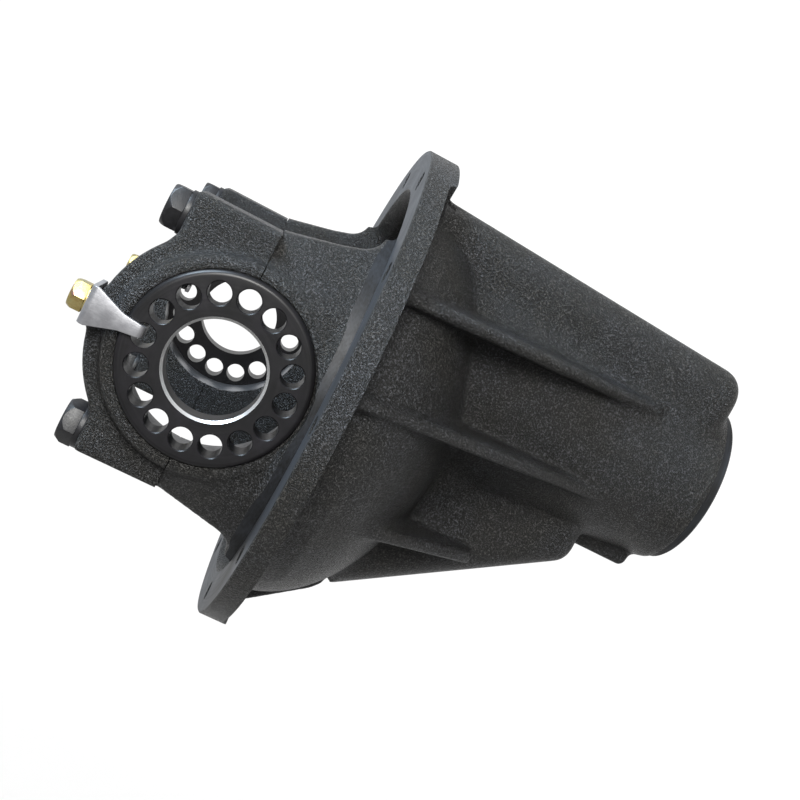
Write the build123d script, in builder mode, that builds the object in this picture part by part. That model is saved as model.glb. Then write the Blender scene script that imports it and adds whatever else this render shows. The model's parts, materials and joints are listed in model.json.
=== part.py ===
from build123d import *
import os
from math import asin, cos, degrees, radians

# Differential carrier with its two bearing caps, adjusting rings, locks and bolts.
# Millimetres.  The origin is the centre of the gasket face; +X runs along the pinion axis
# towards the nose, Y is the axle axis (left is +Y, right is -Y), and +Z is up.

# Flange
flange_radius = 132.5
flange_thickness = 11.5
pilot_radius = 110.5
pilot_length = 6.0
opening_depth = 9.0
stud_circle_radius = 121.0
stud_count = 10
stud_hole_radius = 4.6
top_pad_height = 4.0
bottom_pad_height = 2.5
pad_inner_radius = 108.0
pad_outer_radius = 132.0
pad_half_angle = 25.0

# Bowl
bowl_centre_x = 8.0
bowl_radius = 113.0
bowl_depth = 71.5
bowl_wall = 8.5
bowl_floor_radius = 25.0
mouth_lip = 0.5

# Pinion nose
pinion_height = 40.6
cone_start_x = 40.0
cone_start_radius = 65.0
nose_start_x = 190.0
nose_radius = 47.0
lip_start_x = 202.0
lip_radius = 44.1
nose_end_x = 208.6
lip_step_length = 1.5
lip_chamfer = 1.0
seal_seat_radius = 37.0
seal_seat_length = 14.0
front_seat_radius = 36.0
front_seat_length = 22.0
shoulder_radius = 31.0
shoulder_length = 6.0
relief_radius = 39.0
rear_shoulder_radius = 34.5
rear_seat_radius = 40.0
rear_seat_start_x = 82.0
rear_seat_length = 24.0
rear_lead_radius = 41.5
oil_channel_half_width = 15.0
oil_channel_height = 12.0
oil_channel_roof = 8.0
oil_channel_start_x = 30.0
oil_channel_corner_radius = 4.0
oil_drop_setback = 10.0
oil_drop_radius = 7.0

# Hump over the nose, gusset and fin under it
hump_end_x = 199.0
hump_root_half_width = 46.0
hump_tip_half_width = 38.0
hump_root_top = 114.5
hump_tip_top = 104.5
hump_corner_radius = 15.0
hump_end_radius = 11.0
gusset_start_x = 56.0
gusset_end_x = 163.5
gusset_root_half_width = 34.0
gusset_tip_half_width = 27.0
gusset_root_bottom = -91.5
gusset_tip_bottom = -24.5
gusset_root_corner_radius = 22.0
gusset_tip_corner_radius = 13.0
gusset_end_radius = 9.0
nose_fin_start_x = 160.0
nose_fin_end_x = 198.5
nose_fin_bottom = -15.5
nose_fin_half_width = 7.0
nose_fin_tip_z = -2.0
nose_fin_root_z = 6.0
nose_fin_slope = 1.5
nose_fin_radius = 3.0
keel_half_width = 7.0
keel_outline = (
    (flange_thickness / 2, -126.0),
    (19.0, -125.0),
    (51.0, -101.5),
    (55.0, -97.0),
    (58.0, -88.0),
    (flange_thickness / 2, -88.0),
)

# Flank sections: x, radius about the pinion axis, height and radius of the lower circle
flank_sections = (
    (56.0, 63.0, -56.0, 34.0),
    (158.5, 50.0, 8.0, 18.0),
)

# Sump pocket sections: x, height, radius
sump_sections = (
    (46.0, -48.0, 24.0),
    (125.0, -29.0, 9.0),
)

# Side ribs: height at the flange, rise per millimetre of length, reach at the flange, end x and end reach
rib_half_thickness = 3.6
rib_edge_radius = 3.0
rib_root_depth = 60.0
rib_tip_depth = 20.0
ribs = {
    "upper": (66.0, 0.025, 108.0, 162.0, 43.0),
    "middle": (17.5, 0.01, 124.0, 158.0, 46.0),
    "lower": (-41.0, 0.0, 115.0, 112.0, 40.0),
}

# Axle axis, bearing legs and caps
axle_x = -47.0
leg_inner = 71.0
leg_outer = 100.5
leg_cast_radius = 110.0
leg_root_x = 26.0
leg_outline = (
    (axle_x, 66),
    (-21, 72),
    (-10, 75.5),
    (-6, 79),
    (-4, 92),
    (leg_root_x, 92),
    (leg_root_x, -92),
    (-4, -90),
    (-6, -75),
    (-12, -70.5),
    (axle_x, -61.5),
)
cap_outer = 96.5
cap_edge_radius = 2.0
cap_arc_radius = 58.0
cap_boss_top = 65.5
cap_boss_bottom = -61.5
cap_boss_end_x = -87.0
cap_boss_depth = 8.5
cap_blend_x = -90.0
cap_blend_z = 38.9
ring_boss_face = 103.5
ring_boss_radius = 50.0
ring_boss_chamfer = 2.0
thread_radius = 43.55
bearing_seat_radius = 41.0
bearing_seat_depth = 20.0
thread_relief = 0.5
lock_pad_x = -105.8
lock_pad_half_height = 9.0
lock_pad_depth = 10.0

# Adjusting rings
adjuster_face = 105.5
adjuster_thickness = 14.0
adjuster_radius = 43.5
adjuster_bore_radius = 22.3
adjuster_hole_radius = 5.3
adjuster_hole_circle = 33.5
adjuster_hole_count = 16
adjuster_edge_radius = 2.5
adjuster_bore_bevel = 1.5
adjuster_hole_bevel = 0.5

# Cap bolts (M12) and washers
cap_bolt_y = 82.0
cap_bolt_z = 53.5
cap_bolt_radius = 6.0
cap_bolt_clearance_radius = 6.75
cap_bolt_hole_end_x = -11.0
cap_bolt_end_x = -14.0
cap_bolt_flats = 19.0
cap_bolt_head_height = 8.0
bolt_head_land = 0.4
bolt_head_bevel_angle = 30.0
bolt_end_chamfer = 0.8
cap_washer_radius = 10.5
cap_washer_bore_radius = 6.5
spot_face_radius = 11.0
cap_washer_thickness = 2.5

# Lock bolts (M8), spring washers and lock plates
lock_bolt_y = 84.0
lock_bolt_radius = 4.0
lock_bolt_length = 20.0
lock_bolt_flats = 13.0
lock_bolt_head_height = 7.0
lock_bolt_hole_depth = 19.0
spring_washer_radius = 6.6
spring_washer_thickness = 2.5
spring_washer_bore_radius = 4.3
spring_washer_gap = 1.6
lock_plate_thickness = 2.3
lock_plate_bend_radius = 3.0
lock_plate_top = 10.5
lock_plate_bottom = -7.0
lock_tab_reach = 8.0
lock_hole_radius = 4.5
lock_ear_radius = 6.0
lock_arm_gap = 0.6
finger_top = 3.6
finger_bottom = -1.2
finger_reach = 8.0
finger_offset = 2.2
arm_neck_distance = 11.0
arm_neck_radius = 12.0
arm_neck_margin = 1.5
lower_head_turn = 12.0

fit_clearance = 0.05

os.makedirs("parts", exist_ok=True)


def write(part, name):
    """Label one finished piece and write its file."""
    part.label = name
    export_step(part, f"parts/{name}.step")


def bowl(radius, depth, start_x):
    """A bowl about the X axis: a straight mouth, a half-ellipse side and a small flat floor."""
    floor_angle = degrees(asin(bowl_floor_radius / radius))
    floor_x = bowl_centre_x + depth * cos(radians(floor_angle))
    with BuildPart() as shape:
        with BuildSketch(Plane.XZ):
            with BuildLine():
                Line((start_x, 0), (start_x, radius))
                Line((start_x, radius), (bowl_centre_x, radius))
                EllipticalCenterArc(
                    (bowl_centre_x, 0), depth, radius, start_angle=floor_angle, arc_size=90 - floor_angle
                )
                Line((floor_x, bowl_floor_radius), (floor_x, 0))
                Line((floor_x, 0), (start_x, 0))
            make_face()
        revolve(axis=Axis.X)
    return shape.part


def tapered_block(start, end, corner_radii, at_top):
    """A block lofted between two upright sections, each (x, half width, bottom, top)."""
    with BuildPart() as shape:
        for (x, half_width, bottom, top), radius in zip((start, end), corner_radii):
            with BuildSketch(Plane.YZ.offset(x)) as section:
                with Locations((0, (bottom + top) / 2)):
                    Rectangle(2 * half_width, top - bottom)
                corners = section.vertices().group_by(Axis.Y)[-1 if at_top else 0]
                fillet(corners, radius)
        loft()
    return shape.part


def cylinder_x(start_x, end_x, radius, y=0.0, z=0.0):
    """A cylinder along X between two stations."""
    with BuildPart() as shape:
        with BuildSketch(Plane.YZ.offset(start_x)):
            with Locations((y, z)):
                Circle(radius)
        extrude(amount=end_x - start_x)
    return shape.part


# Nose: a cone about the pinion axis that ends in a short cylinder and a turned lip
with BuildPart() as nose:
    with BuildSketch(Plane.XZ) as nose_profile:
        with BuildLine():
            Polyline(
                (cone_start_x, 0),
                (cone_start_x, cone_start_radius),
                (nose_start_x, nose_radius),
                (lip_start_x, nose_radius),
                (lip_start_x + lip_step_length, lip_radius),
                (nose_end_x - lip_chamfer, lip_radius),
                (nose_end_x, lip_radius - lip_chamfer),
                (nose_end_x, 0),
                close=True,
            )
        make_face()
    revolve(axis=Axis.X)
nose_casting = Pos(0, 0, pinion_height) * nose.part

# Flank under the cone, where the bowl runs out into the nose
with BuildPart() as flank:
    for station, upper_radius, lower_height, lower_radius in flank_sections:
        with BuildSketch(Plane.YZ.offset(station)):
            with Locations((0, pinion_height)):
                Circle(upper_radius)
            with Locations((0, lower_height)):
                Circle(lower_radius)
            make_hull()
    loft()

hump = tapered_block(
    (flange_thickness / 2, hump_root_half_width, pinion_height, hump_root_top),
    (hump_end_x, hump_tip_half_width, pinion_height, hump_tip_top),
    (hump_corner_radius, hump_corner_radius),
    at_top=True,
)
with BuildPart() as rounded_hump:
    add(hump)
    end_edges = rounded_hump.edges().filter_by(Axis.Y).sort_by(Axis.X)[-2:]
    fillet(end_edges.sort_by(Axis.Z)[-1:], hump_end_radius)

gusset = tapered_block(
    (gusset_start_x, gusset_root_half_width, gusset_root_bottom, pinion_height),
    (gusset_end_x, gusset_tip_half_width, gusset_tip_bottom, pinion_height),
    (gusset_root_corner_radius, gusset_tip_corner_radius),
    at_top=False,
)
with BuildPart() as rounded_gusset:
    add(gusset)
    end_edges = rounded_gusset.edges().filter_by(Axis.Y).sort_by(Axis.X)[-2:]
    fillet(end_edges.sort_by(Axis.Z)[:1], gusset_end_radius)


def side_rib(height, rise, reach, end_x, end_reach):
    """One rib on the right side: a flat triangular plate from the flange to the nose."""
    plane = Plane(origin=(0, 0, height), x_dir=(1, 0, rise), z_dir=(-rise, 0, 1))
    with BuildPart() as rib:
        with BuildSketch(plane):
            with BuildLine():
                Polyline(
                    (flange_thickness / 2, -reach),
                    (end_x, -end_reach),
                    (end_x, -end_reach + rib_tip_depth),
                    (flange_thickness / 2, -reach + rib_root_depth),
                    close=True,
                )
            make_face()
        extrude(amount=rib_half_thickness, both=True)
        outer = rib.faces().sort_by(lambda face: face.normal_at().Y)[0]
        fillet(outer.edges().sort_by(SortBy.LENGTH)[-2:], rib_edge_radius)
    return rib.part


side_ribs = [side_rib(*sizes) for sizes in ribs.values()]

# Keel: the short rib under the bowl
with BuildPart() as keel:
    with BuildSketch(Plane.XZ):
        with BuildLine():
            Polyline(*keel_outline, close=True)
        make_face()
    extrude(amount=keel_half_width, both=True)

# Fin under the nose
with BuildPart() as nose_fin:
    with BuildSketch(Plane.XZ) as fin_profile:
        with BuildLine():
            Polyline(
                (nose_fin_start_x, nose_fin_bottom),
                (nose_fin_end_x, nose_fin_bottom),
                (nose_fin_end_x + nose_fin_slope, nose_fin_tip_z),
                (nose_fin_start_x, nose_fin_root_z),
                close=True,
            )
        make_face()
        fillet(fin_profile.vertices().sort_by(Axis.X)[-2:].sort_by(Axis.Y)[:1], nose_fin_radius)
    extrude(amount=nose_fin_half_width, both=True)


def flange_pad(height, centre_angle):
    """A raised pad on the back of the flange, behind two of its stud holes."""
    with BuildPart() as pad:
        with BuildSketch(Plane.YZ.offset(flange_thickness)):
            Circle(pad_outer_radius)
            Circle(pad_inner_radius, mode=Mode.SUBTRACT)
            with BuildLine():
                tip = Vector(2 * flange_radius, 0)
                Polyline(
                    (0, 0),
                    tip.rotate(Axis.Z, centre_angle - pad_half_angle),
                    tip.rotate(Axis.Z, centre_angle + pad_half_angle),
                    close=True,
                )
            make_face(mode=Mode.INTERSECT)
        extrude(amount=height)
    return pad.part



def leg_walls(reach, limit_radius):
    """Both upright walls between the leg's inner face and a reach, held inside a cylinder about X."""
    with BuildPart() as walls:
        with BuildSketch(Plane.XZ):
            with BuildLine():
                Polyline(*leg_outline, close=True)
            make_face()
        extrude(amount=reach, both=True)
        with BuildSketch(Plane.XZ):
            Rectangle(4 * flange_radius, 2 * flange_radius)
        extrude(amount=leg_inner, both=True, mode=Mode.SUBTRACT)
        with BuildSketch(Plane.YZ.offset(axle_x)):
            Circle(limit_radius)
        extrude(amount=leg_root_x - axle_x, mode=Mode.INTERSECT)
    return walls.part


def ring_bosses():
    """The raised rings around the side-bearing bores, on the outer faces of legs and caps."""
    with BuildPart() as rings:
        for side in (-1, 1):
            with BuildSketch(Plane.XZ.offset(-side * leg_inner)):
                with Locations((axle_x, 0)):
                    Circle(ring_boss_radius)
            extrude(amount=-side * (ring_boss_face - leg_inner))
            outer = rings.faces().sort_by(Axis.Y)[-1 if side > 0 else 0]
            chamfer(outer.edges(), ring_boss_chamfer)
    return rings.part


def bearing_bores():
    """Cutters for the side-bearing seats and for the adjuster threads outside them."""
    seat_end = leg_inner + bearing_seat_depth
    with BuildPart() as bores:
        with BuildSketch(Plane.XZ):
            with Locations((axle_x, 0)):
                Circle(bearing_seat_radius)
        extrude(amount=seat_end + thread_relief, both=True)
        for side in (-1, 1):
            with BuildSketch(Plane.XZ.offset(-side * seat_end)):
                with Locations((axle_x, 0)):
                    Circle(thread_radius)
            extrude(amount=-side * (flange_radius - seat_end))
    return bores.part


rings = ring_bosses()
bores = bearing_bores()

with BuildPart() as carrier_housing:
    add(cylinder_x(0, flange_thickness, flange_radius))
    add(bowl(bowl_radius, bowl_depth, flange_thickness / 2))
    add(flange_pad(top_pad_height, 90))
    add(flange_pad(bottom_pad_height, -90))
    add(nose_casting)
    add(flank.part)
    add(rounded_hump.part)
    add(rounded_gusset.part)
    add(keel.part)
    add(nose_fin.part)
    for rib in side_ribs:
        add(rib)
        add(mirror(rib, about=Plane.XZ, mode=Mode.PRIVATE))
    # Gear chamber and its flared mouth
    add(bowl(bowl_radius - bowl_wall, bowl_depth - bowl_wall, -1), mode=Mode.SUBTRACT)
    with BuildSketch(Plane.YZ):
        Circle(pilot_radius - mouth_lip)
    with BuildSketch(Plane.YZ.offset(opening_depth)):
        Circle(bowl_radius - bowl_wall)
    loft(mode=Mode.SUBTRACT)
    # Sump pocket inside the gusset
    for station, height, radius in sump_sections:
        with BuildSketch(Plane.YZ.offset(station)):
            with Locations((0, height)):
                Circle(radius)
    loft(mode=Mode.SUBTRACT)
    # Legs with their machined pilot bands
    add(leg_walls(leg_outer, leg_cast_radius))
    band = leg_walls(flange_radius, pilot_radius)
    add(split(band, bisect_by=Plane.YZ.offset(-pilot_length), keep=Keep.TOP, mode=Mode.PRIVATE))
    add(split(rings, bisect_by=Plane.YZ.offset(axle_x), keep=Keep.TOP, mode=Mode.PRIVATE))
    add(bores, mode=Mode.SUBTRACT)
    # Pinion bore, from the seal's seat at the nose back to the rear bearing's seat
    station = nose_end_x
    for length, radius in (
        (seal_seat_length, seal_seat_radius),
        (front_seat_length, front_seat_radius),
        (shoulder_length, shoulder_radius),
    ):
        add(cylinder_x(station, station - length, radius, 0, pinion_height), mode=Mode.SUBTRACT)
        station -= length
    rear_seat_end = rear_seat_start_x + rear_seat_length
    rear_shoulder_end = rear_seat_end + shoulder_length
    add(cylinder_x(station, rear_shoulder_end, relief_radius, 0, pinion_height), mode=Mode.SUBTRACT)
    add(
        cylinder_x(rear_shoulder_end, rear_seat_end, rear_shoulder_radius, 0, pinion_height),
        mode=Mode.SUBTRACT,
    )
    add(
        cylinder_x(rear_seat_end, rear_seat_start_x, rear_seat_radius, 0, pinion_height),
        mode=Mode.SUBTRACT,
    )
    add(
        cylinder_x(rear_seat_start_x, bowl_centre_x, rear_lead_radius, 0, pinion_height),
        mode=Mode.SUBTRACT,
    )
    # Oil channel under the hump and its drop into the space between the pinion bearings
    channel_floor = pinion_height + relief_radius + oil_channel_roof
    with BuildSketch(Plane.YZ.offset(oil_channel_start_x)):
        with Locations((0, channel_floor + oil_channel_height / 2)):
            RectangleRounded(2 * oil_channel_half_width, oil_channel_height, oil_channel_corner_radius)
    extrude(amount=station - oil_channel_start_x, mode=Mode.SUBTRACT)
    with BuildSketch(Plane.XY.offset(pinion_height)):
        with Locations((station - oil_drop_setback, 0)):
            Circle(oil_drop_radius)
    extrude(amount=channel_floor - pinion_height + oil_channel_height / 2, mode=Mode.SUBTRACT)
    # Stud holes, half a step away from the top
    with BuildSketch(Plane.YZ.offset(-1)):
        with PolarLocations(stud_circle_radius, stud_count, start_angle=90 + 180 / stud_count):
            Circle(stud_hole_radius)
    extrude(amount=30, mode=Mode.SUBTRACT)
    # Tapped holes for the cap bolts
    for side in (-1, 1):
        for height in (-cap_bolt_z, cap_bolt_z):
            add(
                cylinder_x(
                    axle_x, cap_bolt_hole_end_x, cap_bolt_radius + fit_clearance, side * cap_bolt_y, height
                ),
                mode=Mode.SUBTRACT,
            )
write(carrier_housing.part, "carrier_housing")


def bearing_cap(side):
    """One cap: an arch over the bore with a bolt boss at each end and a pad for the lock bolt."""
    with BuildPart() as cap:
        with BuildSketch(Plane.XZ.offset(-side * leg_inner)):
            with Locations((axle_x, 0)):
                Circle(cap_arc_radius)
            with BuildLine():
                Polyline(
                    (axle_x, cap_boss_bottom),
                    (axle_x, cap_boss_top),
                    (cap_boss_end_x, cap_boss_top),
                    (cap_boss_end_x, cap_bolt_z - cap_boss_depth),
                    (cap_blend_x, cap_blend_z),
                    (axle_x - cap_arc_radius / 2, 0),
                    (cap_blend_x, -cap_blend_z),
                    (cap_boss_end_x, cap_boss_depth - cap_bolt_z),
                    (cap_boss_end_x, cap_boss_bottom),
                    close=True,
                )
            make_face()
            with Locations((lock_pad_x + lock_pad_depth / 2, 0)):
                Rectangle(lock_pad_depth, 2 * lock_pad_half_height)
            with Locations((axle_x + cap_arc_radius, 0)):
                Rectangle(2 * cap_arc_radius, 4 * cap_arc_radius, mode=Mode.SUBTRACT)
        extrude(amount=-side * (cap_outer - leg_inner))
        rim = cap.faces().sort_by(Axis.Y)[-1 if side > 0 else 0]
        cast_edges = rim.outer_wire().edges().filter_by(lambda edge: edge.center().X < axle_x - 1)
        fillet(cast_edges, cap_edge_radius)
        split_rings = split(rings, bisect_by=Plane.YZ.offset(axle_x), keep=Keep.BOTTOM, mode=Mode.PRIVATE)
        add(split_rings.solids().sort_by(Axis.Y)[-1 if side > 0 else 0])
        add(bores, mode=Mode.SUBTRACT)
        for height in (-cap_bolt_z, cap_bolt_z):
            place = (side * cap_bolt_y, height)
            add(
                cylinder_x(cap_boss_end_x - 1, axle_x + 1, cap_bolt_clearance_radius, *place),
                mode=Mode.SUBTRACT,
            )
            add(
                cylinder_x(cap_boss_end_x - 10, cap_boss_end_x, spot_face_radius, *place),
                mode=Mode.SUBTRACT,
            )
        add(
            cylinder_x(
                lock_pad_x - 1, lock_pad_x + lock_bolt_hole_depth, lock_bolt_radius + fit_clearance,
                side * lock_bolt_y,
            ),
            mode=Mode.SUBTRACT,
        )
    return cap.part


def adjuster(side):
    """One adjusting ring with its circle of through holes and a bevelled centre bore."""
    with BuildPart() as ring:
        with BuildSketch(Plane.XZ.offset(-side * adjuster_face)):
            with Locations((axle_x, 0)):
                Circle(adjuster_radius)
                Circle(adjuster_bore_radius, mode=Mode.SUBTRACT)
        extrude(amount=side * adjuster_thickness)
        outer = ring.faces().filter_by(Axis.Y).sort_by(Axis.Y)[-1 if side > 0 else 0]
        fillet(outer.outer_wire().edges(), adjuster_edge_radius)
        outer = ring.faces().filter_by(Axis.Y).sort_by(Axis.Y)[-1 if side > 0 else 0]
        chamfer(outer.inner_wires()[0].edges(), adjuster_bore_bevel)
        with BuildSketch(Plane.XZ.offset(-side * adjuster_face)):
            with Locations((axle_x, 0)):
                with PolarLocations(adjuster_hole_circle, adjuster_hole_count):
                    Circle(adjuster_hole_radius)
        extrude(amount=side * adjuster_thickness, mode=Mode.SUBTRACT)
        outer = ring.faces().filter_by(Axis.Y).sort_by(Axis.Y)[-1 if side > 0 else 0]
        rims = outer.edges().filter_by(GeomType.CIRCLE)
        chamfer(rims.filter_by(lambda edge: edge.radius < adjuster_hole_radius + 0.1), adjuster_hole_bevel)
    return ring.part


def hex_bolt(seat_x, y, z, flats, head_height, radius, end_x, head_turn):
    """A hexagon-head bolt along X whose head sits on seat_x and points towards -X."""
    with BuildPart() as bolt:
        with BuildSketch(Plane.YZ.offset(seat_x)):
            with Locations((y, z)):
                RegularPolygon(flats / 2, 6, major_radius=False, rotation=head_turn)
        extrude(amount=-head_height)
        with BuildSketch(Plane.YZ.offset(seat_x - head_height)):
            with Locations((y, z)):
                Circle(flats / 2 - bolt_head_land)
        extrude(amount=2 * head_height, taper=-bolt_head_bevel_angle, mode=Mode.INTERSECT)
        with BuildSketch(Plane.YZ.offset(seat_x)):
            with Locations((y, z)):
                Circle(radius)
        extrude(amount=end_x - seat_x)
        chamfer(bolt.faces().sort_by(Axis.X)[-1].edges(), bolt_end_chamfer)
    return bolt.part


def washer(seat_x, y, z, outer_radius, inner_radius, thickness):
    """A flat round washer along X that lies on seat_x."""
    with BuildPart() as disc:
        with BuildSketch(Plane.YZ.offset(seat_x)):
            with Locations((y, z)):
                Circle(outer_radius)
                Circle(inner_radius, mode=Mode.SUBTRACT)
        extrude(amount=-thickness)
    return disc.part


def spring_washer(seat_x, y):
    """A split washer along X that lies on seat_x, with its gap at the top."""
    with BuildPart() as disc:
        add(washer(seat_x, y, 0, spring_washer_radius, spring_washer_bore_radius, spring_washer_thickness))
        with BuildSketch(Plane.YZ.offset(seat_x)):
            with Locations((y, spring_washer_radius)):
                Rectangle(spring_washer_gap, 2 * spring_washer_bore_radius)
        extrude(amount=-spring_washer_thickness, mode=Mode.SUBTRACT)
    return disc.part


def lock_plate(side):
    """A bent sheet lock: a tab under the bolt, an arm along the ring's face and a finger in its hole."""
    outer_x = lock_pad_x - lock_plate_thickness
    arm_inner = adjuster_face + lock_arm_gap
    arm_outer = arm_inner + lock_plate_thickness
    finger_x = axle_x - adjuster_hole_circle
    finger_left = finger_x - finger_offset
    finger_right = finger_left + lock_plate_thickness
    inner_radius = lock_plate_bend_radius - lock_plate_thickness
    neck_x = finger_x - arm_neck_distance
    finger_end = adjuster_face - finger_reach
    tab_end = lock_bolt_y - lock_tab_reach
    outer_bend = (
        (outer_x, side * tab_end),
        (outer_x, side * arm_outer),
        (finger_right, side * arm_outer),
        (finger_right, side * finger_end),
    )
    inner_bend = (
        (finger_left, side * finger_end),
        (finger_left, side * arm_inner),
        (lock_pad_x, side * arm_inner),
        (lock_pad_x, side * tab_end),
    )
    with BuildPart() as plate:
        with BuildSketch(Plane.XY.offset(lock_plate_bottom)):
            with BuildLine():
                FilletPolyline(outer_bend, radius=lock_plate_bend_radius)
                Line(outer_bend[-1], inner_bend[0])
                FilletPolyline(inner_bend, radius=inner_radius)
                Line(inner_bend[-1], outer_bend[0])
            make_face()
        extrude(amount=lock_plate_top - lock_plate_bottom)
        # Side view of the arm: wide at the tab, drawn in to the finger
        with BuildSketch(Plane.XZ) as arm_outline:
            with BuildLine():
                Polyline(
                    (outer_x - 1, lock_plate_top),
                    (lock_pad_x + 1, lock_plate_top),
                    (neck_x, finger_top + arm_neck_margin),
                    (finger_right + 1, finger_top),
                    (finger_right + 1, finger_bottom),
                    (neck_x, finger_bottom - arm_neck_margin),
                    (lock_pad_x + 1, lock_plate_bottom),
                    (outer_x - 1, lock_plate_bottom),
                    close=True,
                )
            make_face()
            necks = arm_outline.vertices().filter_by(lambda point: abs(point.X - neck_x) < 1)
            fillet(necks, arm_neck_radius)
        extrude(amount=flange_radius, both=True, mode=Mode.INTERSECT)
        # Round ear of the tab
        ear = plate.edges().filter_by(Axis.X).sort_by(lambda edge: abs(edge.center().Y))[:2]
        fillet(ear, lock_ear_radius)
        bolt_hole = cylinder_x(outer_x - 1, lock_pad_x + 1, lock_hole_radius, side * lock_bolt_y)
        add(bolt_hole, mode=Mode.SUBTRACT)
    return plate.part


head_seat_x = cap_boss_end_x - cap_washer_thickness
lock_seat_x = lock_pad_x - lock_plate_thickness
lock_head_x = lock_seat_x - spring_washer_thickness
for side, side_name in ((1, "left"), (-1, "right")):
    write(bearing_cap(side), f"{side_name}_bearing_cap")
    write(adjuster(side), f"{side_name}_adjuster")
    write(lock_plate(side), f"{side_name}_lock_plate")
    write(spring_washer(lock_seat_x, side * lock_bolt_y), f"{side_name}_lock_spring_washer")
    write(
        hex_bolt(
            lock_head_x,
            side * lock_bolt_y,
            0,
            lock_bolt_flats,
            lock_bolt_head_height,
            lock_bolt_radius,
            lock_head_x + lock_bolt_length,
            0,
        ),
        f"{side_name}_lock_bolt",
    )
    for level, level_name, head_turn in ((1, "upper", 0), (-1, "lower", lower_head_turn)):
        place = (side * cap_bolt_y, level * cap_bolt_z)
        write(
            washer(cap_boss_end_x, *place, cap_washer_radius, cap_washer_bore_radius, cap_washer_thickness),
            f"{side_name}_{level_name}_cap_washer",
        )
        write(
            hex_bolt(
                head_seat_x,
                *place,
                cap_bolt_flats,
                cap_bolt_head_height,
                cap_bolt_radius,
                cap_bolt_end_x,
                head_turn,
            ),
            f"{side_name}_{level_name}_cap_bolt",
        )
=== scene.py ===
import json
from math import cos, pi, radians, sin

import bmesh
import bpy
import numpy as np
from mathutils import Matrix, Vector

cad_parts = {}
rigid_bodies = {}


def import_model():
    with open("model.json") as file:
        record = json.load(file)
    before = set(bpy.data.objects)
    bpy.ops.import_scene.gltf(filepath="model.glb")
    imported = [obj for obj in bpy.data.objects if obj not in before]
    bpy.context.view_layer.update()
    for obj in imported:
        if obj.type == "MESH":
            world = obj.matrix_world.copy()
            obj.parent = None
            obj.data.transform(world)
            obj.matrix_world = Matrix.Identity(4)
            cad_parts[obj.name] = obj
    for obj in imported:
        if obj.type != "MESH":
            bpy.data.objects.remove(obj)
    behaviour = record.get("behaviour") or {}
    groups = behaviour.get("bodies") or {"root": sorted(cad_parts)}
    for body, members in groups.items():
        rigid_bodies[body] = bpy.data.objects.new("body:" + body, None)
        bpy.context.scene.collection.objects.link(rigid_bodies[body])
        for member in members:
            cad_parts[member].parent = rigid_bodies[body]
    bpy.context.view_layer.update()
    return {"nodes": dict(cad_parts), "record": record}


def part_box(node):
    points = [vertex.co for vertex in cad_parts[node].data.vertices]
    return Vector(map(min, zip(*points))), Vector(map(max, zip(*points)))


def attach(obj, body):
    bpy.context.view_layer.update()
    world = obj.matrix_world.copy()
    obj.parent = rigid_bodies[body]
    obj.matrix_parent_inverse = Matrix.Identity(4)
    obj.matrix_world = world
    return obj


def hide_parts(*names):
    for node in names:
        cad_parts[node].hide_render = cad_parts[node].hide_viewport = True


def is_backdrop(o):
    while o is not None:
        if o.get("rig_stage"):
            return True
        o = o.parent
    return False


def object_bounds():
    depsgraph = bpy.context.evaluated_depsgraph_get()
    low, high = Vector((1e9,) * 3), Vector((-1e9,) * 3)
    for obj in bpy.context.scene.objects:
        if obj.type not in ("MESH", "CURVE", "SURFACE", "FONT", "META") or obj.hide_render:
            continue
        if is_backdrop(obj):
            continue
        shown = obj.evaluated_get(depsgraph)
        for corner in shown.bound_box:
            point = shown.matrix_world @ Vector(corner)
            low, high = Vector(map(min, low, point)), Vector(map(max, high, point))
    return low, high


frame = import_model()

# Differential carrier, in metres in the part's own frame.  The cast housing and caps get foundry fillets and
# grain and then their machined faces; the rings get turned grooves and drilled holes; the locks, bolts and
# washers get broken edges.

MM = 0.001
mounts = {mount["name"]: mount for mount in frame["record"]["mounts"]}
joints = {joint["name"]: joint for joint in frame["record"]["behaviour"]["joints"]}
housing_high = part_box("carrier_housing")[1]


def mount_radius(name):
    return mounts[name]["dims"]["r_mm"] * MM


AXLE_X = mounts["left_side_bearing_seat"]["pos_m"][0]
PINION_Z = mounts["seal_seat"]["pos_m"][2]
SPLIT = AXLE_X
SIDE_SEAT_R = mount_radius("left_side_bearing_seat")
SEAL_R = mount_radius("seal_seat")
FRONT_SEAT_R = mount_radius("front_pinion_bearing_seat")
REAR_SEAT_R = mount_radius("rear_pinion_bearing_seat")
RING_BORE_R = mount_radius("left_axle_shaft_passage")
STUD_COUNT = mounts["stud_circle"]["dims"]["count"]
STUD_CIRCLE_R = mounts["stud_circle"]["dims"]["pcd_mm"] * MM / 2
STUD_HOLE_R = mounts["stud_circle"]["dims"]["hole_r_mm"] * MM
CAP_BOLT_Y, CAP_BOLT_Z = joints["left_upper_cap_bolt_turn"]["pos_m"][1:]
LOCK_BOLT_Y = joints["left_lock_bolt_turn"]["pos_m"][1]
FLANGE_R = housing_high.y
NOSE_END = housing_high.x

PILOT_R = 0.1105
PILOT_END = -0.0070
THREAD_R = 0.04355
THREAD_START = 0.0910
SPOT_X = -0.087
LOCK_PAD_X = -0.1058

# The zone of the legs and caps on either side, and heights clear above and below them.
LEG_IN, LEG_OUT = 0.060, 0.118
CLEAR_Z = 0.085

# Solids that fill the holes of a casting before it is remeshed, so that their edges stay: start, end, radius.
STUD_FILL = (0.0006, 0.0109, 0.0052)
NOSE_FILL = (0.0830, 0.2080, 0.0405)
SIDE_FILL = (0.0716, 0.1030, 0.0452)
TAPPED_FILL = (-0.0518, -0.0105, 0.0068)
CAP_BOLT_FILL = (-0.0865, -0.0422, 0.0078)
LOCK_FILL = (-0.1055, -0.0860, 0.0050)

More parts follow.
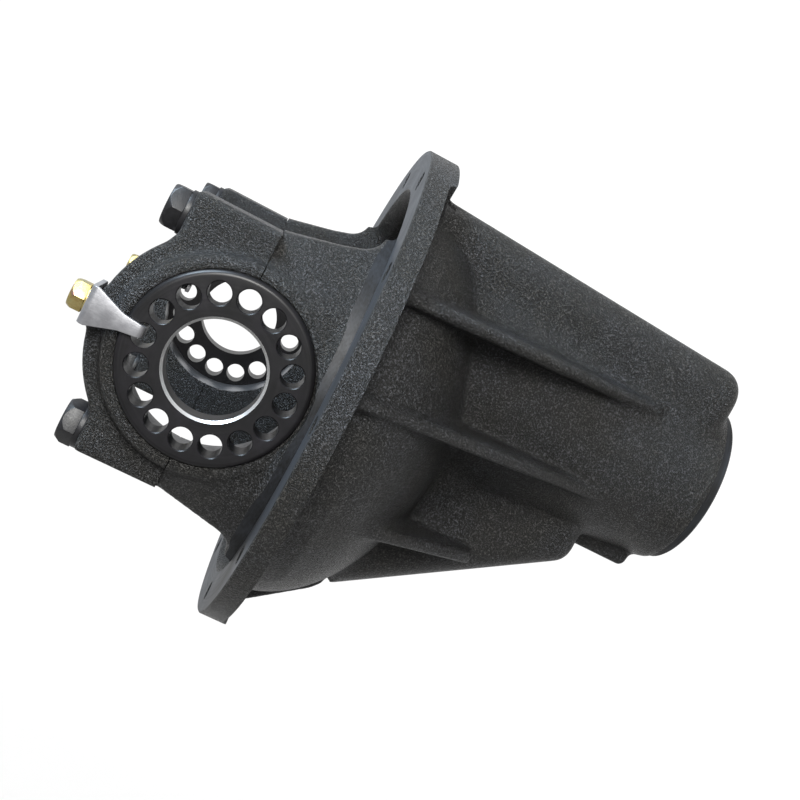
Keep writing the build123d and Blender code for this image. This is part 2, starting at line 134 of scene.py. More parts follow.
# Holes cut afterwards: start, end, radius.
TAPPED_HOLE = (-0.056, -0.011, 0.00605)
CAP_BOLT_HOLE = (-0.100, -0.040, 0.00675)
SPOT_FACE = (-0.110, SPOT_X, 0.0112)
LOCK_HOLE = (-0.112, -0.0868, 0.00405)

# Reach of the cut at the cap split: past the whole fill of the side bore, so that none of it stays behind.
SPLIT_REACH = 0.050
SPLIT_STOCK = 0.005

# The line round the outside of the cap split: half its width, and its depth from each side.
GROOVE_HALF = 0.0005
GROOVE_DEPTH_Z = 0.0013
GROOVE_DEPTH_OUT = 0.0083
GROOVE_IN = 0.0722

RING_FACE, RING_BACK, RING_R, RING_EDGE = 0.1055, 0.0915, 0.0435, 0.0025
RING_HOLES, RING_HOLE_CIRCLE_R, RING_HOLE_R = 16, 0.0335, 0.0053
RING_GROOVES, RING_GROOVE_PITCH, RING_GROOVE_DEPTH = 7, 0.0015, 0.0007


# ---------------------------------------------------------------- mesh helpers


def new_object(name, mesh):
    obj = bpy.data.objects.new(name, mesh)
    bpy.context.scene.collection.objects.link(obj)
    return obj


def lathe(profile, axis, centre, steps=180):
    """A closed solid turned from (along, radius) points about X or Y through centre."""
    bm = bmesh.new()
    rings = []
    for along, radius in profile:
        if radius < 1e-9:
            rings.append([bm.verts.new(turned_point(along, 0.0, 0.0, axis, centre))])
            continue
        rings.append(
            [
                bm.verts.new(turned_point(along, radius, 2 * pi * k / steps, axis, centre))
                for k in range(steps)
            ]
        )
    for first, second in zip(rings, rings[1:] + rings[:1]):
        for k in range(steps):
            n = (k + 1) % steps
            corners = [
                first[k % len(first)],
                first[n % len(first)],
                second[n % len(second)],
                second[k % len(second)],
            ]
            unique = list(dict.fromkeys(corners))
            if len(unique) > 2:
                bm.faces.new(unique)
    bmesh.ops.recalc_face_normals(bm, faces=bm.faces)
    mesh = bpy.data.meshes.new("lathe")
    bm.to_mesh(mesh)
    bm.free()
    return mesh


def turned_point(along, radius, angle, axis, centre):
    if axis == "X":
        return Vector((along, centre[1] + radius * cos(angle), centre[2] + radius * sin(angle)))
    return Vector((centre[0] + radius * cos(angle), along, centre[2] + radius * sin(angle)))


def ring_profile(start, end, outer, inner=0.0):
    return [(start, inner), (start, outer), (end, outer), (end, inner)]


def rod(size, centre, steps):
    """A closed cylinder along X; size is (start, end, radius)."""
    return lathe(ring_profile(*size), "X", centre, steps)


def arc_stock(start, end, inner, outer, middle_angle, half_angle, steps=40):
    """A closed block bounded by two radii about X, between two stations, over a span of angles."""
    bm = bmesh.new()
    sections = []
    for k in range(steps + 1):
        a = middle_angle - half_angle + 2 * half_angle * k / steps
        corners = ((start, inner), (start, outer), (end, outer), (end, inner))
        sections.append([bm.verts.new((x, q * cos(a), q * sin(a))) for x, q in corners])
    for first, second in zip(sections, sections[1:]):
        for k in range(4):
            n = (k + 1) % 4
            bm.faces.new((first[k], first[n], second[n], second[k]))
    bm.faces.new(sections[0])
    bm.faces.new(sections[-1])
    bmesh.ops.recalc_face_normals(bm, faces=bm.faces)
    mesh = bpy.data.meshes.new("arc")
    bm.to_mesh(mesh)
    bm.free()
    return mesh


def slab(low, high):
    bm = bmesh.new()
    bmesh.ops.create_cube(bm, size=1.0)
    for v in bm.verts:
        v.co = Vector(low[i] if v.co[i] < 0 else high[i] for i in range(3))
    mesh = bpy.data.meshes.new("slab")
    bm.to_mesh(mesh)
    bm.free()
    return mesh


def joined(meshes, name):
    bm = bmesh.new()
    for mesh in meshes:
        bm.from_mesh(mesh)
    mesh = bpy.data.meshes.new(name)
    bm.to_mesh(mesh)
    bm.free()
    return mesh


def cad_mesh(node, split_stock=0.0):
    """The node's mesh with its split vertices merged, and stock left on the faces at the cap split."""
    bm = bmesh.new()
    bm.from_mesh(frame["nodes"][node].data)
    bmesh.ops.remove_doubles(bm, verts=bm.verts, dist=2e-6)
    for face in bm.faces:
        face.material_index = 0
    if split_stock:
        ends = [f for f in bm.faces if all(abs(v.co.x - SPLIT) < 1e-5 for v in f.verts)]
        grown = bmesh.ops.extrude_face_region(bm, geom=ends)
        for item in grown["geom"]:
            if isinstance(item, bmesh.types.BMVert):
                item.co.x += split_stock
        bmesh.ops.delete(bm, geom=ends, context="FACES")
    mesh = bpy.data.meshes.new(node)
    bm.to_mesh(mesh)
    bm.free()
    return mesh


def applied(obj):
    """Bakes the object's modifiers into its mesh."""
    graph = bpy.context.evaluated_depsgraph_get()
    mesh = bpy.data.meshes.new_from_object(obj.evaluated_get(graph), depsgraph=graph)
    old = obj.data
    obj.modifiers.clear()
    obj.data = mesh
    bpy.data.meshes.remove(old)
    return obj


def cut(obj, meshes):
    """Subtracts closed meshes from the object, one after the other."""
    for mesh in meshes:
        tool = new_object("tool", mesh)
        mod = obj.modifiers.new("cut", "BOOLEAN")
        mod.operation = "DIFFERENCE"
        mod.solver = "MANIFOLD"
        mod.object = tool
        applied(obj)
        bpy.data.objects.remove(tool)
    return obj


# ---------------------------------------------------------------- foundry look of the cast parts


def vertex_normals(co, quads):
    a = co[quads[:, 2]] - co[quads[:, 0]]
    b = co[quads[:, 3]] - co[quads[:, 1]]
    face = np.cross(a, b)
    out = np.zeros_like(co)
    for c in range(3):
        out[:, c] = sum(np.bincount(quads[:, k], face[:, c], len(co)) for k in range(4))
    return out / np.maximum(np.linalg.norm(out, axis=1, keepdims=True), 1e-20)


def neighbour_mean(co, edges, count):
    out = np.empty_like(co)
    for c in range(3):
        total = np.bincount(edges[:, 0], co[edges[:, 1], c], len(co))
        total += np.bincount(edges[:, 1], co[edges[:, 0], c], len(co))
        out[:, c] = total / count
    return out


def foundry(mesh, voxel, fill_steps, round_steps, name):
    """Remeshes a closed shape evenly, fills its inner corners with fillets and rounds its outer edges."""
    obj = new_object(name, mesh)
    mod = obj.modifiers.new("remesh", "REMESH")
    mod.mode = "VOXEL"
    mod.voxel_size = voxel
    applied(obj)
    mesh = obj.data
    co = np.empty(len(mesh.vertices) * 3)
    mesh.vertices.foreach_get("co", co)
    co = co.reshape(-1, 3)
    edges = np.empty(len(mesh.edges) * 2, np.int32)
    mesh.edges.foreach_get("vertices", edges)
    edges = edges.reshape(-1, 2)
    quads = np.empty(len(mesh.loops), np.int32)
    mesh.loops.foreach_get("vertex_index", quads)
    quads = quads.reshape(-1, 4)
    count = np.bincount(edges.ravel(), minlength=len(co))
    for _ in range(3):
        co += 0.5 * (neighbour_mean(co, edges, count) - co)
    for step in range(fill_steps):
        if step % 4 == 0:
            normal = vertex_normals(co, quads)
        pull = neighbour_mean(co, edges, count) - co
        rise = np.einsum("ij,ij->i", pull, normal)
        # slide along the surface freely, move outward only where the surface is hollow
        tangent = pull - rise[:, None] * normal
        co += 0.5 * np.maximum(rise, 0.0)[:, None] * normal + 0.3 * tangent
    for _ in range(round_steps):
        co += 0.5 * (neighbour_mean(co, edges, count) - co)
    mesh.vertices.foreach_set("co", co.ravel())
    mesh.update()
    return obj


def thinned(obj, ratio):
    mod = obj.modifiers.new("thin", "DECIMATE")
    mod.ratio = ratio
    mod.use_collapse_triangulate = True
    return applied(obj)


def finish_cast(obj, materials, machined, angle=38):
    """Shades the casting smooth, keeps the machined edges crisp and gives machined faces their finish."""
    mesh = obj.data
    mesh.materials.clear()
    for m in materials:
        mesh.materials.append(m)
    centre = np.empty(len(mesh.polygons) * 3)
    mesh.polygons.foreach_get("center", centre)
    normal = np.empty(len(mesh.polygons) * 3)
    mesh.polygons.foreach_get("normal", normal)
    kind = machined(centre.reshape(-1, 3), normal.reshape(-1, 3))
    mesh.polygons.foreach_set("material_index", kind.astype(np.int32))
    mesh.polygons.foreach_set("use_smooth", [True] * len(mesh.polygons))
    mesh.set_sharp_from_angle(angle=radians(angle))
    bm = bmesh.new()
    bm.from_mesh(mesh)
    for edge in bm.edges:
        kinds = {face.material_index for face in edge.link_faces}
        if len(kinds) > 1:
            edge.smooth = False
    bm.to_mesh(mesh)
    bm.free()
    return obj


def near(values, target, slack=0.00012):
    return np.abs(values - target) < slack


def bore_kind(c):
    """True on the turned side-bearing seats and threads."""
    radius = np.hypot(c[:, 0] - AXLE_X, c[:, 2])
    outward = np.abs(c[:, 1])
    seat = near(radius, SIDE_SEAT_R, 0.0002) & (outward < THREAD_START + 0.0002)
    thread = (radius > SIDE_SEAT_R - 0.0001) & (radius < THREAD_R + 0.00015) & (outward > 0.0905)
    return (outward > 0.0705) & (seat | thread)


def housing_kind(c, n):
    radius = np.hypot(c[:, 1], c[:, 2])
    nose = np.hypot(c[:, 1], c[:, 2] - PINION_Z)
    face = near(c[:, 0], 0.0, 0.00002) & (n[:, 0] < -0.99) & (radius > PILOT_R - 0.0002)
    band = near(radius, PILOT_R, 0.00003) & (c[:, 0] > PILOT_END - 0.0001) & (np.abs(n[:, 0]) < 0.05)
    lip = (c[:, 0] > 0.2030) & (nose > 0.0360) & (nose < 0.0443)
    on_seat = near(nose, SEAL_R) | near(nose, FRONT_SEAT_R) | near(nose, REAR_SEAT_R)
    seats = (nose < 0.0412) & (c[:, 0] > 0.0822) & on_seat
    kind = np.zeros(len(c), int)
    kind[face] = 1
    kind[band | lip | seats] = 2
    kind[bore_kind(c)] = 3
    return kind


def cap_kind(c, n):
    spot = near(c[:, 0], SPOT_X) & (n[:, 0] < -0.9)
    pad = near(c[:, 0], LOCK_PAD_X) & (n[:, 0] < -0.9)
    return np.where(bore_kind(c) | spot | pad, 1, 0)


def side_lathe(side, points, steps=180):
    """A lathe about the axle axis on one side; points are (distance from the middle, radius)."""
    return lathe([(side * distance, radius) for distance, radius in points], "Y", (AXLE_X, 0.0, 0.0), steps)


def side_bore(side):
    return side_lathe(
        side,
        [
            (0.0620, 0.0),
            (0.0620, SIDE_SEAT_R),
            (THREAD_START, SIDE_SEAT_R),
            (THREAD_START, THREAD_R),
            (0.1029, THREAD_R),
            (0.1037, 0.0444),
            (0.1120, 0.0444),
            (0.1120, 0.0),
        ],
    )


def side_span(side, inner, outer):
    """The two Y places at these distances from the middle, lower first."""
    return sorted((side * inner, side * outer))


def stud_centres():
    """Centres of the stud holes, the first half a pitch past the top."""
    pitch = 360 / STUD_COUNT
    angles = [radians(90 + pitch * (k + 0.5)) for k in range(STUD_COUNT)]
    return [(0.0, STUD_CIRCLE_R * cos(a), STUD_CIRCLE_R * sin(a)) for a in angles]


def cap_bolt_centres(side):
    return [(0.0, side * CAP_BOLT_Y, z) for z in (-CAP_BOLT_Z, CAP_BOLT_Z)]


def housing_stock():
    """The housing's shape with its holes filled and stock left on the faces that are turned afterwards."""
    solids = [cad_mesh("carrier_housing", -SPLIT_STOCK)]
    solids += [rod(STUD_FILL, centre, 24) for centre in stud_centres()]
    solids.append(rod(NOSE_FILL, (0.0, 0.0, PINION_Z), 96))
    for side in (-1, 1):
        solids.append(side_lathe(side, ring_profile(*SIDE_FILL), steps=96))
        solids += [rod(TAPPED_FILL, centre, 24) for centre in cap_bolt_centres(side)]
    solids.append(lathe(ring_profile(-0.0014, 0.0114, 0.1365, 0.1118), "X", (0, 0, 0), 240))
    solids.append(lathe(ring_profile(0.2040, 0.2100, 0.0456, 0.0300), "X", (0, 0, PINION_Z), 160))
    solids.append(arc_stock(0.0100, 0.0155, PILOT_R, 0.1365, radians(90), radians(25.5)))
    solids.append(arc_stock(0.0100, 0.0140, PILOT_R, 0.1365, radians(-90), radians(25.5)))
    return joined(solids, "casting")


def turned_flange():
    """What the lathe takes off the pilot, the gasket face and the flange's rim."""
    return lathe(
        [
            (PILOT_END, PILOT_R),
            (0.0000, PILOT_R),
            (0.0000, FLANGE_R - 0.0006),
            (0.0006, FLANGE_R),
            (0.0200, FLANGE_R),
            (0.0200, 0.1500),
            (PILOT_END, 0.1500),
        ],
        "X",
        (0, 0, 0),
        256,
    )


def nose_bore():
    """What boring takes out of the nose, from the seal seat to the bowl, with the outside of its lip."""
    return lathe(
        [
            (0.2020, 0.0600),
            (0.2032, 0.0441),
            (NOSE_END - 0.0008, 0.0441),
            (NOSE_END, 0.0433),
            (NOSE_END, SEAL_R + 0.0010),
            (NOSE_END - 0.0010, SEAL_R),
            (0.1946, SEAL_R),
            (0.1946, FRONT_SEAT_R),
            (0.1726, FRONT_SEAT_R),
            (0.1726, 0.0310),
            (0.1666, 0.0310),
            (0.1666, 0.0390),
            (0.1120, 0.0390),
            (0.1120, 0.0345),
            (0.1060, 0.0345),
            (0.1060, REAR_SEAT_R),
            (0.0820, REAR_SEAT_R),
            (0.0820, 0.0415),
            (0.0400, 0.0415),
            (0.0400, 0.0),
            (0.2200, 0.0),
            (0.2200, 0.0600),
        ],
        "X",
        (0, 0, PINION_Z),
        180,
    )


def stud_hole(centre):
    chamfer = 0.0006
    profile = [
        (-0.002, 0.0),
        (-0.002, STUD_HOLE_R + chamfer),
        (0.0, STUD_HOLE_R + chamfer),
        (chamfer, STUD_HOLE_R),
        (0.022, STUD_HOLE_R),
        (0.022, 0.0),
    ]
    return lathe(profile, "X", centre, 40)


def build_housing(materials):
    obj = foundry(housing_stock(), 0.00125, 26, 3, "casting_housing")
    thinned(obj, 0.38)
    bores, tapped, ends = [], [], []
    for side in (-1, 1):
        bores.append(side_bore(side))
        tapped += [rod(TAPPED_HOLE, centre, 32) for centre in cap_bolt_centres(side)]
        y0, y1 = side_span(side, LEG_IN, LEG_OUT)
        ends.append(slab((SPLIT - SPLIT_REACH, y0, -CLEAR_Z), (SPLIT, y1, CLEAR_Z)))
    studs = [stud_hole(centre) for centre in stud_centres()]
    cut(obj, [turned_flange(), nose_bore(), joined(studs, "studs"), joined(bores, "bores")])
    cut(obj, [joined(ends, "ends"), joined(tapped, "tapped")])
    finish_cast(obj, materials, housing_kind)
    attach(obj, "carrier")
    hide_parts("carrier_housing")
    return obj


def split_line(side, node):
    """Two cutting solids for the line round the cap split: its inner and outer sides, and its two ends."""
    low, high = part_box(node)
    x0, x1 = SPLIT - GROOVE_HALF, SPLIT + GROOVE_HALF
    outer = side_span(side, max(high.y, -low.y) - GROOVE_DEPTH_OUT, LEG_OUT)
    inner = side_span(side, LEG_IN, GROOVE_IN)
    sides = [slab((x0, y0, -CLEAR_Z), (x1, y1, CLEAR_Z)) for y0, y1 in (outer, inner)]
    y0, y1 = side_span(side, LEG_IN, LEG_OUT)
    ends = [
        slab((x0, y0, high.z - GROOVE_DEPTH_Z), (x1, y1, CLEAR_Z)),
        slab((x0, y0, -CLEAR_Z), (x1, y1, low.z + GROOVE_DEPTH_Z)),
    ]
    return [joined(sides, "sides"), joined(ends, "ends")]


def build_cap(side, side_name, materials):
    node = side_name + "_bearing_cap"
    lock_centre = (0.0, side * LOCK_BOLT_Y, 0.0)
    solids = [cad_mesh(node, SPLIT_STOCK), side_lathe(side, ring_profile(*SIDE_FILL), steps=96)]
    solids += [rod(CAP_BOLT_FILL, centre, 24) for centre in cap_bolt_centres(side)]
    solids.append(rod(LOCK_FILL, lock_centre, 24))
    obj = foundry(joined(solids, "cap"), 0.00095, 14, 3, "casting_" + node)
    thinned(obj, 0.45)
    spots = [rod(SPOT_FACE, centre, 64) for centre in cap_bolt_centres(side)]
    bolts = [rod(CAP_BOLT_HOLE, centre, 40) for centre in cap_bolt_centres(side)]
    y0, y1 = side_span(side, LEG_IN, LEG_OUT)
    split = slab((SPLIT, y0, -CLEAR_Z), (SPLIT + SPLIT_REACH, y1, CLEAR_Z))
    pad = slab((-0.120, y0, -0.016), (LOCK_PAD_X, y1, 0.016))
    cut(obj, [side_bore(side), joined(spots, "spots"), joined(bolts, "bolts"), split, pad])
    cut(obj, [rod(LOCK_HOLE, lock_centre, 32)] + split_line(side, node))
    finish_cast(obj, materials, cap_kind)
    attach(obj, "carrier")
    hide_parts(node)
    return obj


def ring_outline():
    """The ring's section: grooved rim, rounded outer corner and bevelled bore."""
    outline = [(RING_BACK, RING_BORE_R), (RING_BACK, RING_R - 0.0006)]
    for k in range(RING_GROOVES):
        root = RING_BACK + 0.0006 + k * RING_GROOVE_PITCH
        depth = RING_R - RING_GROOVE_DEPTH
        outline += [
            (root, RING_R),
            (root + 0.35 * RING_GROOVE_PITCH, depth),
            (root + 0.65 * RING_GROOVE_PITCH, depth),
        ]
    for k in range(11):
        a = radians(9 * k)
        outline.append((RING_FACE - RING_EDGE + RING_EDGE * sin(a), RING_R - RING_EDGE + RING_EDGE * cos(a)))
    bevel = 0.0012
    return outline + [(RING_FACE, RING_BORE_R + bevel), (RING_FACE - bevel, RING_BORE_R)]


def ring_hole(side, angle):
    mouth = 0.0004
    centre = (AXLE_X + RING_HOLE_CIRCLE_R * cos(angle), 0.0, RING_HOLE_CIRCLE_R * sin(angle))
    points = [
        (0.088, 0.0),
        (0.088, RING_HOLE_R),
        (RING_FACE - mouth, RING_HOLE_R),
        (RING_FACE, RING_HOLE_R + mouth),
        (0.109, RING_HOLE_R + mouth),
        (0.109, 0.0),
    ]
    return lathe([(side * distance, radius) for distance, radius in points], "Y", centre, 40)


def build_adjuster(side, side_name, materials):
    """The adjusting ring: turned, edge-rounded, drilled and bevelled at its bore."""
    obj = new_object(side_name + "_adjusting_ring", side_lathe(side, ring_outline(), steps=256))
    holes = [ring_hole(side, 2 * pi * k / RING_HOLES) for k in range(RING_HOLES)]
    cut(obj, [joined(holes, "holes")])
    finish_cast(obj, materials, ring_kind, 32)
    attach(obj, side_name + "_adjuster")
    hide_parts(side_name + "_adjuster")
    return obj


def ring_kind(c, n):
    radius = np.hypot(c[:, 0] - AXLE_X, c[:, 2])
    bevel = (radius < 0.0236) & (np.abs(c[:, 1]) > 0.1042) & (np.abs(n[:, 1]) < 0.9)
    return np.where(bevel, 1, 0)


def build_worked(node, body, look, width):
    """The node's own shape with its worked edges broken by small bevels."""
    mesh = cad_mesh(node)
    bm = bmesh.new()
    bm.from_mesh(mesh)
    bmesh.ops.dissolve_limit(bm, angle_limit=radians(1.0), verts=bm.verts, edges=bm.edges)
    bm.to_mesh(mesh)
    bm.free()
    obj = new_object("worked_" + node, mesh)
    bevel = obj.modifiers.new("edges", "BEVEL")
    bevel.width = width
    bevel.segments = 3
    bevel.limit_method = "ANGLE"
    bevel.angle_limit = radians(24)
    bevel.use_clamp_overlap = True
    applied(obj)
    mesh = obj.data
    mesh.materials.clear()
    mesh.materials.append(look)
    mesh.polygons.foreach_set("use_smooth", [True] * len(mesh.polygons))
    mesh.set_sharp_from_angle(angle=radians(40))
    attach(obj, body)
    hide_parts(node)
    return obj


# ---------------------------------------------------------------- materials


def material(name):
    mat = bpy.data.materials.new(name)
    mat.use_nodes = True
    nodes, links = mat.node_tree.nodes, mat.node_tree.links
    return mat, nodes, links, nodes["Principled BSDF"]


def noise(nodes, links, vector, scale, detail=2.0, rough=0.5):
    node = nodes.new("ShaderNodeTexNoise")
    node.inputs["Scale"].default_value = scale
    node.inputs["Detail"].default_value = detail
    node.inputs["Roughness"].default_value = rough
    links.new(vector, node.inputs["Vector"])
    return node.outputs["Fac"]


def ramp(nodes, links, value, stops):
    node = nodes.new("ShaderNodeValToRGB")
    elements = node.color_ramp.elements
    while len(elements) < len(stops):
        elements.new(0.5)
    for element, (place, colour) in zip(elements, stops):
        element.position = place
        element.color = (*colour, 1.0)
    links.new(value, node.inputs["Fac"])
    return node.outputs["Color"]


def spread(nodes, links, value, low, high, to_low, to_high):
    node = nodes.new("ShaderNodeMapRange")
    node.inputs["From Min"].default_value = low
    node.inputs["From Max"].default_value = high
    node.inputs["To Min"].default_value = to_low
    node.inputs["To Max"].default_value = to_high
    links.new(value, node.inputs["Value"])
    return node.outputs["Result"]


def bumped(nodes, links, height, strength, distance, normal=None):
    node = nodes.new("ShaderNodeBump")
    node.inputs["Strength"].default_value = strength
    node.inputs["Distance"].default_value = distance
    links.new(height, node.inputs["Height"])
    if normal is not None:
        links.new(normal, node.inputs["Normal"])
    return node.outputs["Normal"]


def math_node(nodes, links, operation, first, second=None):
    node = nodes.new("ShaderNodeMath")
    node.operation = operation
    for socket, value in zip(node.inputs, (first, second)):
        if value is None:
            continue
        if isinstance(value, float):
            socket.default_value = value
        else:
            links.new(value, socket)
    return node.outputs[0]


def object_place(nodes):
    return nodes.new("ShaderNodeTexCoord").outputs["Object"]


def around(nodes, links, place, axis, centre, ring_scale, along_scale):
    """Texture place that streaks along the turning direction about an axis."""
    split = nodes.new("ShaderNodeSeparateXYZ")
    links.new(place, split.inputs[0])
    first, second, along = (1, 2, 0) if axis == "X" else (0, 2, 1)
    a = math_node(nodes, links, "SUBTRACT", split.outputs[first], centre[0])
    b = math_node(nodes, links, "SUBTRACT", split.outputs[second], centre[1])
    square = math_node(
        nodes,
        links,
        "ADD",
        math_node(nodes, links, "MULTIPLY", a, a),
        math_node(nodes, links, "MULTIPLY", b, b),
    )
    radius = math_node(nodes, links, "SQRT", square)
    angle = math_node(nodes, links, "ARCTAN2", b, a)
    join = nodes.new("ShaderNodeCombineXYZ")
    links.new(math_node(nodes, links, "MULTIPLY", radius, ring_scale), join.inputs[0])
    links.new(math_node(nodes, links, "MULTIPLY", angle, 1.6), join.inputs[1])
    links.new(math_node(nodes, links, "MULTIPLY", split.outputs[along], along_scale), join.inputs[2])
    return join.outputs[0]


def cast_iron():
    mat, nodes, links, shader = material("cast_iron_skin")
    place = object_place(nodes)
    patches = noise(nodes, links, place, 26.0, 4.0, 0.6)
    grain = noise(nodes, links, place, 1100.0, 3.0, 0.75)
    sand = noise(nodes, links, place, 2300.0, 1.0, 0.5)
    lumps = noise(nodes, links, place, 170.0, 3.0, 0.6)
    colour = ramp(
        nodes,
        links,
        grain,
        [
            (0.42, (0.0012, 0.0012, 0.0011)),
            (0.53, (0.0034, 0.0034, 0.0032)),
            (0.64, (0.0380, 0.0395, 0.0425)),
        ],
    )
    tint = ramp(nodes, links, patches, [(0.38, (0.86, 0.80, 0.68)), (0.62, (1.0, 1.0, 1.04))])
    mix = nodes.new("ShaderNodeMix")
    mix.data_type = "RGBA"
    mix.blend_type = "MULTIPLY"
    mix.inputs["Factor"].default_value = 1.0
    links.new(colour, mix.inputs["A"])
    links.new(tint, mix.inputs["B"])
    links.new(mix.outputs["Result"], shader.inputs["Base Color"])
    shader.inputs["Metallic"].default_value = 0.0
    links.new(spread(nodes, links, grain, 0.35, 0.65, 0.55, 0.28), shader.inputs["Roughness"])
    shader.inputs["Specular IOR Level"].default_value = 0.10
    shader.inputs["Coat Weight"].default_value = 0.14
    shader.inputs["Coat Roughness"].default_value = 0.33
    first = bumped(nodes, links, lumps, 0.5, 0.0010)
    second = bumped(nodes, links, grain, 1.0, 0.0020, first)
    third = bumped(nodes, links, sand, 0.7, 0.0002, second)
    links.new(bumped(nodes, links, grain, 1.0, 0.0008, first), shader.inputs["Coat Normal"])
    links.new(third, shader.inputs["Normal"])
    return mat


def machined_iron(name, axis, centre, shades, rough, metallic, gloss=0.5):
    mat, nodes, links, shader = material(name)
    place = object_place(nodes)
    streaks = around(nodes, links, place, axis, centre, 1500.0, 1500.0)
    lines = noise(nodes, links, streaks, 1.0, 3.0, 0.6)
    stains = noise(nodes, links, place, 45.0, 4.0, 0.6)
    half_lines = math_node(nodes, links, "MULTIPLY", lines, 0.5)
    half_stains = math_node(nodes, links, "MULTIPLY", stains, 0.5)
    blend = math_node(nodes, links, "ADD", half_lines, half_stains)
    colour = ramp(nodes, links, blend, [(0.38, shades[0]), (0.62, shades[1])])
    links.new(colour, shader.inputs["Base Color"])
    shader.inputs["Metallic"].default_value = metallic
    shader.inputs["Specular IOR Level"].default_value = gloss
    links.new(spread(nodes, links, blend, 0.35, 0.65, rough + 0.1, rough - 0.06), shader.inputs["Roughness"])
    links.new(bumped(nodes, links, lines, 0.35, 0.00008), shader.inputs["Normal"])
    return mat


def black_oxide():
    mat, nodes, links, shader = material("ring_black_oxide")
    place = object_place(nodes)
    streaks = around(nodes, links, place, "Y", (AXLE_X, 0.0), 1300.0, 1300.0)
    lines = noise(nodes, links, streaks, 1.0, 3.0, 0.6)
    stains = noise(nodes, links, place, 60.0, 4.0, 0.65)
    colour = ramp(
        nodes,
        links,
        stains,
        [
            (0.3, (0.0020, 0.0020, 0.0021)),
            (0.6, (0.0035, 0.0033, 0.0038)),
            (0.8, (0.0065, 0.0060, 0.0075)),
        ],
    )
    links.new(colour, shader.inputs["Base Color"])
    shader.inputs["Metallic"].default_value = 0.0
    shader.inputs["Specular IOR Level"].default_value = 0.12
    links.new(spread(nodes, links, lines, 0.3, 0.7, 0.42, 0.30), shader.inputs["Roughness"])
    links.new(bumped(nodes, links, lines, 0.25, 0.00006), shader.inputs["Normal"])
    return mat


def bright_steel(name, shades, rough):
    mat, nodes, links, shader = material(name)
    place = object_place(nodes)
    stretch = nodes.new("ShaderNodeMapping")
    stretch.inputs["Scale"].default_value = (260.0, 260.0, 2600.0)
    links.new(place, stretch.inputs["Vector"])
    lines = noise(nodes, links, stretch.outputs["Vector"], 1.0, 3.0, 0.6)
    stains = noise(nodes, links, place, 160.0, 4.0, 0.6)
    colour = ramp(nodes, links, stains, [(0.34, shades[0]), (0.66, shades[1])])
    links.new(colour, shader.inputs["Base Color"])
    shader.inputs["Metallic"].default_value = 0.85
    links.new(spread(nodes, links, lines, 0.3, 0.7, rough + 0.08, rough - 0.06), shader.inputs["Roughness"])
    links.new(bumped(nodes, links, lines, 0.25, 0.00006), shader.inputs["Normal"])
    return mat


def yellow_zinc():
    mat, nodes, links, shader = material("yellow_zinc")
    place = object_place(nodes)
    drift = noise(nodes, links, place, 170.0, 3.0, 0.6)
    fine = noise(nodes, links, place, 900.0, 2.0, 0.6)
    colour = ramp(
        nodes,
        links,
        drift,
        [
            (0.30, (0.17, 0.11, 0.09)),
            (0.42, (0.22, 0.165, 0.06)),
            (0.60, (0.27, 0.225, 0.10)),
            (0.74, (0.17, 0.18, 0.085)),
        ],
    )
    links.new(colour, shader.inputs["Base Color"])
    shader.inputs["Metallic"].default_value = 1.0
    links.new(spread(nodes, links, fine, 0.3, 0.7, 0.46, 0.36), shader.inputs["Roughness"])
    links.new(bumped(nodes, links, fine, 0.18, 0.00004), shader.inputs["Normal"])
    return mat


def phosphate():
    mat, nodes, links, shader = material("bolt_phosphate")
    place = object_place(nodes)
    wear = noise(nodes, links, place, 210.0, 4.0, 0.65)
    fine = noise(nodes, links, place, 1600.0, 2.0, 0.6)
    colour = ramp(
        nodes,
        links,
        wear,
        [
            (0.35, (0.002, 0.002, 0.0022)),
            (0.62, (0.0050, 0.0050, 0.0058)),
            (0.80, (0.020, 0.020, 0.022)),
        ],
    )
    links.new(colour, shader.inputs["Base Color"])
    shader.inputs["Metallic"].default_value = 0.0
    shader.inputs["Specular IOR Level"].default_value = 0.16
    links.new(spread(nodes, links, fine, 0.3, 0.7, 0.50, 0.34), shader.inputs["Roughness"])
    links.new(bumped(nodes, links, fine, 0.4, 0.0001), shader.inputs["Normal"])
    return mat


cast = cast_iron()
face_shades = ((0.006, 0.0066, 0.0078), (0.014, 0.0158, 0.019))
band_shades = ((0.0015, 0.0015, 0.0015), (0.009, 0.010, 0.012))
bore_shades = ((0.06, 0.06, 0.063), (0.14, 0.14, 0.147))
bevel_shades = ((0.26, 0.26, 0.26), (0.42, 0.42, 0.42))
faced = machined_iron("machined_face", "X", (0.0, 0.0), face_shades, 0.55, metallic=0.0, gloss=0.30)
banded = machined_iron("machined_band", "X", (0.0, PINION_Z), band_shades, 0.45, metallic=0.0, gloss=0.12)
bored = machined_iron("machined_bore", "Y", (AXLE_X, 0.0), bore_shades, 0.32, metallic=0.8)
bevel_steel = machined_iron("ring_bevel", "Y", (AXLE_X, 0.0), bevel_shades, 0.34, metallic=0.9)
oxide = black_oxide()
plate_steel = bright_steel("lock_plate_steel", ((0.12, 0.12, 0.127), (0.18, 0.18, 0.188)), 0.38)
zinc = yellow_zinc()
black_bolt = phosphate()

build_housing([cast, faced, banded, bored])

for side, side_name in ((1, "left"), (-1, "right")):
    build_cap(side, side_name, [cast, bored])
    build_adjuster(side, side_name, [oxide, bevel_steel])
    for part, slot_name, look, width in (
        ("lock_bolt", "zinc_steel", zinc, 0.00025),
        ("lock_spring_washer", "zinc_steel", zinc, 0.00025),
        ("upper_cap_bolt", "bolt_steel", black_bolt, 0.0004),
        ("lower_cap_bolt", "bolt_steel", black_bolt, 0.0004),
        ("upper_cap_washer", "bolt_steel", black_bolt, 0.0003),
        ("lower_cap_washer", "bolt_steel", black_bolt, 0.0003),
    ):
        node = side_name + "_" + part
        build_worked(node, node, look, width)
    build_worked(side_name + "_lock_plate", "carrier", plate_steel, 0.0003)

# ---------------------------------------------------------------- stage, lights and camera

